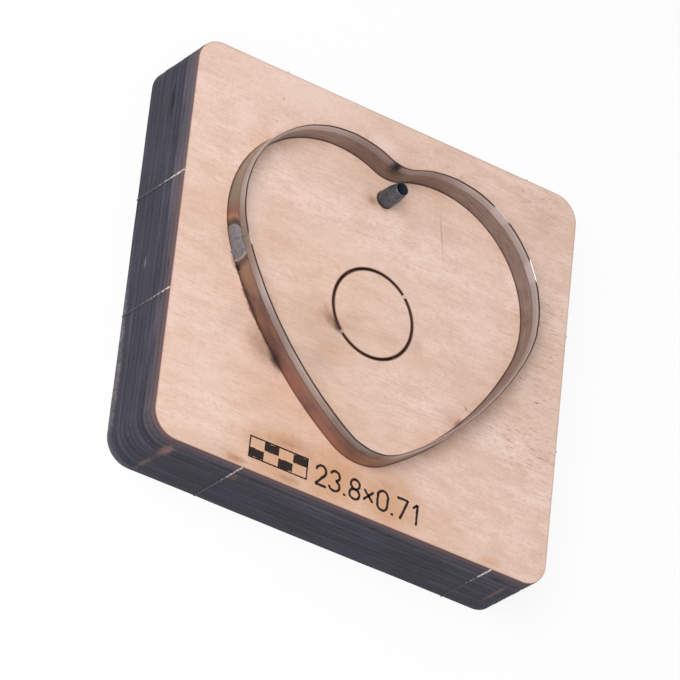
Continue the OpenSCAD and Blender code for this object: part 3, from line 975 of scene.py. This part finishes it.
foot_wear *= place.noise(1.6, 4, 0.7).spread(0.42, 0.6, 0.15, 0.55)
colour.tint(foot_wear * on_left, 152, 144, 146)
cover(crust, finish, colour, edge_char["Roughness"], edge_char["Height"], strength=0.35, depth=0.08)

finish, wires = new_finish("burned_marks", Specular_IOR_Level=0.15)
flecks = wires.millimetres().noise(2.4, 4, 0.7)
soot = flecks.ramp((0.3, 34, 27, 27), (0.55, 48, 38, 36), (0.8, 84, 62, 52))
cover(marks, finish, soot, flecks.spread(0.2, 0.8, 0.7, 0.95))

# %% [markdown]
# ## Steel finishes
# The rule is hardened and coated, so its body is a brown grey, while the ground bevel is bright.
# Welding ran heat colours along the strip: rust red and straw that fade over two centimetres, and a
# longer red tint down the lower left side. Beside the weld the strip is darker in a narrow band. The
# field from_joint, the signed distance from the joint, carries those colours. The punch is blackened, and
# the weld is dull grey.

# %% Rule finish
finish, wires = new_finish("rule_steel", Metallic=1)
place = wires.millimetres()
x, y, z = place.apart()
away_mm = wires.field("from_joint")
outer = wires.field("outside")
glint = wires.field("glint")
map_uv = wires.value("UVMap", uv_map="along_across")
lengthwise = wires.group(strokes_group, Place=map_uv, Stretch=(40, 900, 0), Amount=0.35)
crosswise = wires.group(strokes_group, Place=map_uv, Stretch=(900, 60, 0), Amount=0.22)
on_bevel = z.spread(bevel_z - 0.06, bevel_z + 0.06)
coat = map_uv.noise((30, 160, 0), 3, 0.55)
coat = coat.ramp((0.3, 138, 128, 127), (0.5, 153, 145, 142), (0.72, 168, 159, 155))
wander = away_mm + (place.noise(0.35, 3, 0.5) - 0.5) * 2
# Next to the weld the bands bend with its rounded end
weld_foot = WELD_Z0 + 0.3 * (WELD_Z1 - WELD_Z0)
bend = z.spread(weld_foot, WELD_Z1, kind="LINEAR") ** END_POWER
bend *= away_mm.spread(-8, -5, END_ROUND * WELD_L / 2)
bend *= away_mm < 0
# Colours from 40 mm above the joint to 60 mm below it
HEAT = [
    (0.00, 176, 170, 165), (0.10, 175, 169, 162), (0.18, 160, 145, 131), (0.25, 163, 158, 147),
    (0.305, 157, 157, 148), (0.329, 164, 124, 126), (0.343, 188, 158, 134), (0.353, 100, 92, 98),
    (0.364, 104, 97, 102), (0.432, 140, 132, 130), (0.444, 112, 92, 94), (0.457, 172, 150, 138),
    (0.49, 158, 140, 130), (0.53, 152, 128, 118), (0.56, 150, 124, 108), (0.62, 142, 118, 118),
    (0.72, 158, 127, 122), (0.90, 151, 127, 122), (1.00, 150, 138, 131)]
heat = (wander - bend).spread(-40, 60, kind="LINEAR").ramp(*HEAT)
# Below the joint the tints alternate in patches: straw, then plum
patch = map_uv.noise((17, 26, 0), 2, 0.5)
below = away_mm.spread(3, 6)
heat.tint(below * patch.spread(0.51, 0.66, 0.6), 180, 144, 114)
heat.tint(below * patch.spread(0.48, 0.35, 0.75), 126, 104, 111)
# Painted shade low on the strip, next to the board
painted_foot_shade = z.spread(19.4, 17.8, 0.45) * away_mm.spread(22, 14)
heat.tint(below * painted_foot_shade, 112, 98, 98)
pink = map_uv.noise((12, 20, 0), 2, 0.5).spread(0.5, 0.64, 0.6)
heat.tint(pink * away_mm.spread(18, 28), 176, 130, 130)
pale_top = z.spread(19.4, 21, 0.32) * away_mm.spread(16, 26)
heat.tint(pale_top, 162, 152, 148)
body = (outer * 0.9).blend(coat, heat)
stain = map_uv.noise((55, 90, 0), 4, 0.6)
body.tint(stain.spread(0.56, 0.78, 0.35), 112, 98, 96)
bevel_heat = abs(wander).spread(12, 3, 0.7) * outer
bevel = z.spread(RULE_H - 1.1, RULE_H - 0.9).blend(rgb(186, 188, 194), rgb(200, 202, 208))
bevel.tint(bevel_heat, 156, 140, 122)
dull = abs(wander - 20).spread(8, 2, 0.4)
dull_tip = abs(wander - 51).spread(13, 3, 0.55)
dull_joint = abs(away_mm).spread(3.2, 1, 0.4)
dull = dull.most(dull_tip).most(dull_joint) * outer
bevel.tint(dull, 132, 126, 126)
honed = z.spread(RULE_H - 0.46, RULE_H - 0.36)
# The thin band along the cutting edge is painted dark, a painted dark reflection
bevel.tint(honed, 88, 74, 70)
inner = 1 - outer
# Painted glints: highlights on the inner bevel and along the cutting edge
bevel.tint(glint * inner * 0.85, 222, 224, 232)
bevel.tint(glint * honed, 232, 230, 230)
steel = on_bevel.blend(body, bevel)
shoulder = abs(z - (bevel_z - 0.12)).spread(0.42, 0.1, 0.3)
steel.tint(shoulder * outer, 92, 78, 74)
# Darker by the notch; low on the inner wall the darkening is painted shade
by_notch = abs(x).spread(18, 8) * y.spread(20, 28)
low_inside = y.spread(8, -4) * y.spread(-27, -15)
low_inside *= z.spread(23, 22.4, 0.1, 1)
notch_dark_and_low_shade = by_notch.most(low_inside * inner)
steel.tint(notch_dark_and_low_shade * 0.5, 122, 103, 101)
low = y.spread(-18, -26) * inner
by_tip = low * z.spread(bevel_z - 0.3, BOARD_T + 1)
steel.tint(by_tip * 0.8, 208, 188, 176)
steel.tint(low * z.spread(20.4, 21.4, 0.3), 104, 90, 84)
# Painted shadow low on the strip just past the pad's lower end
weld_end_shadow = abs(wander - 5).spread(1.1, 0.3)
weld_end_shadow *= z.spread(19.2, 17.7) * outer
steel.tint(weld_end_shadow * 0.85, 58, 46, 50)
tone = on_bevel.choose(lengthwise["Tone"], crosswise["Tone"])
toned = wires.value("CombineColor", {0: tone, 1: tone, 2: tone})
steel = wires.value("Mix", {0: 1, 6: steel, 7: toned}, 2, data_type="RGBA", blend_type="MULTIPLY")
body_rough = lengthwise["Height"].spread(0.3, 0.7, 0.34, 0.46)
bevel_rough = crosswise["Height"].spread(0.3, 0.7, 0.26, 0.36)
ground = on_bevel.choose(lengthwise["Height"], crosswise["Height"])
rough = on_bevel.choose(body_rough, bevel_rough)
cover(rule, finish, steel, rough, ground, strength=0.12, depth=0.03)

# %% Punch and weld finishes
finish, wires = new_finish("punch_steel", Metallic=0.85)
place = wires.millimetres()
z = place.apart()[2]
map_uv = wires.value("UVMap", uv_map="along_across")
turned = wires.group(strokes_group, Place=map_uv, Stretch=(30, 1500, 0), Amount=0.7)
dark = (turned["Tone"] * 0.5).ramp((0.35, 72, 78, 87), (0.5, 94, 101, 111), (0.68, 122, 129, 140))
scale_spots = (place * (1, 1, 0.7)).noise(1.3, 4, 0.65)
dark.tint(scale_spots.spread(0.52, 0.68, 0.55), 64, 60, 64)
dark.tint(scale_spots.spread(0.46, 0.34, 0.45), 132, 138, 148)
dark.tint(z.spread(BOARD_T + 1.1, BOARD_T + 0.1, 0.6), 66, 54, 50)
radius = (place * (1, 1, 0)).math("DISTANCE", (0, PUNCH_Y, 0))
in_bore = radius.spread(BORE_R + 0.06, BORE_R + 0.01)
dark.tint(in_bore, 104, 106, 122)
# Painted highlight round the cutting edge of the punch
edge_highlight = z.spread(RULE_H - 0.18, RULE_H - 0.04) * (1 - in_bore)
dark.tint(edge_highlight * 0.3, 138, 142, 150)
cover(punch, finish, dark, turned["Height"].spread(0.3, 0.7, 0.36, 0.52),
      turned["Height"], strength=0.2, depth=0.04)

finish, wires = new_finish("weld_metal", Metallic=0.6)
place = wires.millimetres()
filed = wires.group(strokes_group, Place=place, Stretch=(1.2, 1.2, 9), Amount=0.5)
blot = place.noise(0.75, 4, 0.65)
grey = (filed["Tone"] * 0.5).ramp((0.35, 114, 111, 118), (0.5, 135, 132, 139), (0.68, 156, 154, 161))
grey.tint(blot.spread(0.5, 0.66, 0.6), 92, 87, 92)
# Painted highlight along the pad's rim
grey.tint(wires.field("rim") * 0.6, 178, 172, 166)
grey.tint(wires.field("foot").spread(0.82, 1, 0.85), 58, 52, 54)
cover(weld, finish, grey, filed["Height"].spread(0.3, 0.7, 0.5, 0.66),
      filed["Height"], strength=0.25, depth=0.06)

# %% [markdown]
# ## Tie the pieces to the frame
# The die has no moving parts, so every piece rides on the one body. Each row gives the piece, a material
# slot name and the CAD node it stands for, if any; those CAD nodes are hidden.

# %% Ride and replace
PIECES = [(rule, "rule_steel", "steel_rule"), (punch, "punch_steel", "hole_punch"),
          (weld, "weld_metal", "joint_weld"), (crust, "plywood", None), (marks, "plywood", None)]
for piece, slot, node in PIECES:
    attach(piece, "root")
    if node:
        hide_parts(node)
